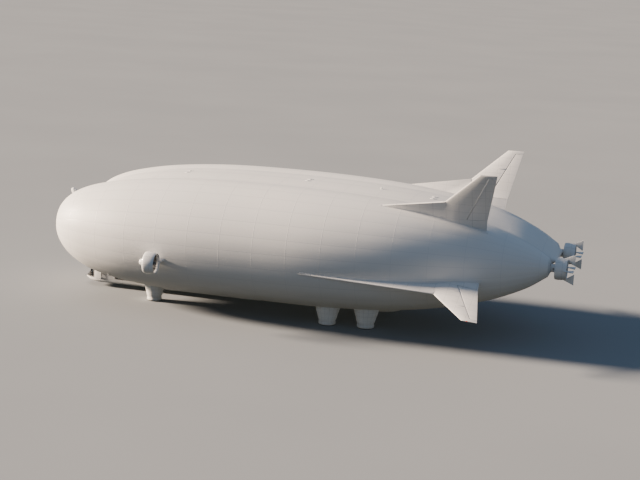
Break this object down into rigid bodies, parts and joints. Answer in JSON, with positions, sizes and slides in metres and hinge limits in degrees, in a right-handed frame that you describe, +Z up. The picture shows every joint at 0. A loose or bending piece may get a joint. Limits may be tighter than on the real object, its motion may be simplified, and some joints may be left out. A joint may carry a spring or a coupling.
{
  "type": "hybrid airship scale model at 1:10",
  "caption": "Wide twin-lobed lighter-than-air hull on squat landing legs, with canted fins, hinged control surfaces, ducted propulsors and a belly cabin.",
  "frame": {"origin": "on the ground under the middle of the whole length and width", "axes": "+X forward to the bow, +Y to port, +Z up"},
  "size_m": [9.81, 5.2208, 3.1526],
  "materials": {
    "fabric": "satin laminated envelope fabric",
    "fin": "satin white over composite panels",
    "panel": "satin white paint",
    "leg": "matt off-white",
    "dark": "satin black composite",
    "metal": "bare cast metal",
    "glass": "dark tinted glazing",
    "cushion": "woven seat cloth"
  },
  "bodies": {
    "ship": {"envelope": "fabric", "fin_upper_port": "fin", "fin_upper_starboard": "fin", "fin_lower_port": "fin", "fin_lower_starboard": "fin", "rear_duct_port": "panel", "rear_duct_starboard": "panel", "rear_nacelle_port": "panel", "rear_nacelle_starboard": "panel", "rear_engine_port": "metal", "rear_engine_starboard": "metal", "tail_mount_port": "panel", "tail_mount_starboard": "panel", "front_pylon_port": "panel", "front_pylon_starboard": "panel", "front_leg_port": "leg", "front_leg_starboard": "leg", "middle_leg_port": "leg", "middle_leg_starboard": "leg", "rear_leg_port": "leg", "rear_leg_starboard": "leg", "cabin_shell": "panel", "windscreen": "glass", "cabin_windows_port": "glass", "cabin_windows_starboard": "glass", "pilot_seat_port": "cushion", "pilot_seat_starboard": "cushion", "flight_console": "dark", "aft_module": "panel"},
    "front_unit_port": {"front_duct_port": "panel", "front_nacelle_port": "panel", "front_engine_port": "metal"},
    "front_unit_starboard": {"front_duct_starboard": "panel", "front_nacelle_starboard": "panel", "front_engine_starboard": "metal"},
    "front_propeller_port": {"front_propeller_port": "dark"},
    "front_propeller_starboard": {"front_propeller_starboard": "dark"},
    "rear_propeller_port": {"rear_propeller_port": "dark"},
    "rear_propeller_starboard": {"rear_propeller_starboard": "dark"},
    "ruddervator_upper_port": {"ruddervator_upper_port": "fin"},
    "ruddervator_upper_starboard": {"ruddervator_upper_starboard": "fin"},
    "ruddervator_lower_port": {"ruddervator_lower_port": "fin"},
    "ruddervator_lower_starboard": {"ruddervator_lower_starboard": "fin"},
    "cabin_door_port": {"cabin_door_port": "panel"},
    "cabin_door_starboard": {"cabin_door_starboard": "panel"}
  },
  "joints": [
    {"name": "front_tilt_port", "type": "hinge", "parent": "ship", "child": "front_unit_port", "pos_m": [2.455, 2.375, 1.1], "axis": [0, 1, 0], "range_deg": [-20, 20]},
    {"name": "front_tilt_starboard", "type": "hinge", "parent": "ship", "child": "front_unit_starboard", "pos_m": [2.455, -2.375, 1.1], "axis": [0, 1, 0], "range_deg": [-20, 20]},
    {"name": "front_spin_port", "type": "hinge", "parent": "front_unit_port", "child": "front_propeller_port", "pos_m": [2.425, 2.375, 1.1], "axis": [1, 0, 0], "continuous": true},
    {"name": "front_spin_starboard", "type": "hinge", "parent": "front_unit_starboard", "child": "front_propeller_starboard", "pos_m": [2.425, -2.375, 1.1], "axis": [1, 0, 0], "continuous": true},
    {"name": "rear_spin_port", "type": "hinge", "parent": "ship", "child": "rear_propeller_port", "pos_m": [-4.7, 0.72, 1.45], "axis": [1, 0, 0], "continuous": true},
    {"name": "rear_spin_starboard", "type": "hinge", "parent": "ship", "child": "rear_propeller_starboard", "pos_m": [-4.7, -0.72, 1.45], "axis": [1, 0, 0], "continuous": true},
    {"name": "upper_hinge_port", "type": "hinge", "parent": "ship", "child": "ruddervator_upper_port", "pos_m": [-3.025, 1.2265, 2.27052], "axis": [-0.3825, 0.4418, 0.8115], "range_deg": [-25, 25]},
    {"name": "upper_hinge_starboard", "type": "hinge", "parent": "ship", "child": "ruddervator_upper_starboard", "pos_m": [-3.025, -1.2265, 2.27052], "axis": [-0.3825, -0.4418, 0.8115], "range_deg": [-25, 25]},
    {"name": "lower_hinge_port", "type": "hinge", "parent": "ship", "child": "ruddervator_lower_port", "pos_m": [-3.01241, 1.67024, 1.13236], "axis": [-0.3726, 0.8643, -0.3379], "range_deg": [-25, 25]},
    {"name": "lower_hinge_starboard", "type": "hinge", "parent": "ship", "child": "ruddervator_lower_starboard", "pos_m": [-3.01241, -1.67024, 1.13236], "axis": [-0.3726, -0.8643, -0.3379], "range_deg": [-25, 25]},
    {"name": "door_hinge_port", "type": "hinge", "parent": "ship", "child": "cabin_door_port", "pos_m": [4.295, 0.255, 0.24], "axis": [0, 0, -1], "range_deg": [0, 100]},
    {"name": "door_hinge_starboard", "type": "hinge", "parent": "ship", "child": "cabin_door_starboard", "pos_m": [4.295, -0.255, 0.24], "axis": [0, 0, 1], "range_deg": [0, 100]}
  ]
}
